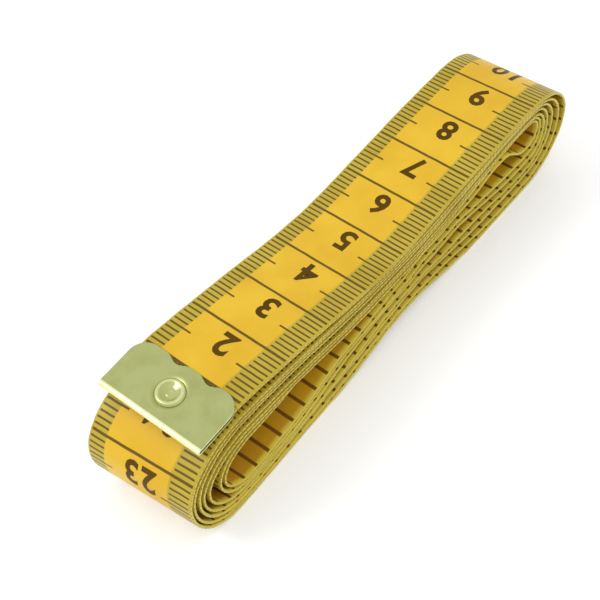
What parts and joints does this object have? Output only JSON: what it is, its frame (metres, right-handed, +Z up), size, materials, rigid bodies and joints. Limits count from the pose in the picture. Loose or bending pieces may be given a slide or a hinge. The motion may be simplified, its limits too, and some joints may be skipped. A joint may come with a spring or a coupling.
{
  "type": "cloth tape measure",
  "caption": "Flexible measuring strip wound flat into an oblong coil, a riveted metal tip on each end; its free end peels up off the coil at a line before the rear bend.",
  "frame": {"origin": "centre of the whole part's box in plan, on the bench that the coil lies on", "axes": "+X lengthwise from the front bend, under the outer tip, to the rear bend; +Y across the strip; +Z up"},
  "size_m": [0.1078, 0.0217, 0.0212],
  "materials": {
    "strip": "coated woven strip, satin",
    "tip_plate": "pale brass plated, satin",
    "tip_rivet": "pale brass plated, satin"
  },
  "bodies": {
    "coil": {"tape_coil": "strip", "inner_tip": "tip_plate", "inner_tip_rivet": "tip_rivet"},
    "free_end": {"tape_free_end": "strip", "outer_tip": "tip_plate", "outer_tip_rivet": "tip_rivet"}
  },
  "joints": [
    {"name": "free_end_peel", "type": "hinge", "parent": "coil", "child": "free_end", "pos_m": [0.0393, 0.00015, 0.02057], "axis": [0, 1, 0], "range_deg": [0, 120]}
  ]
}
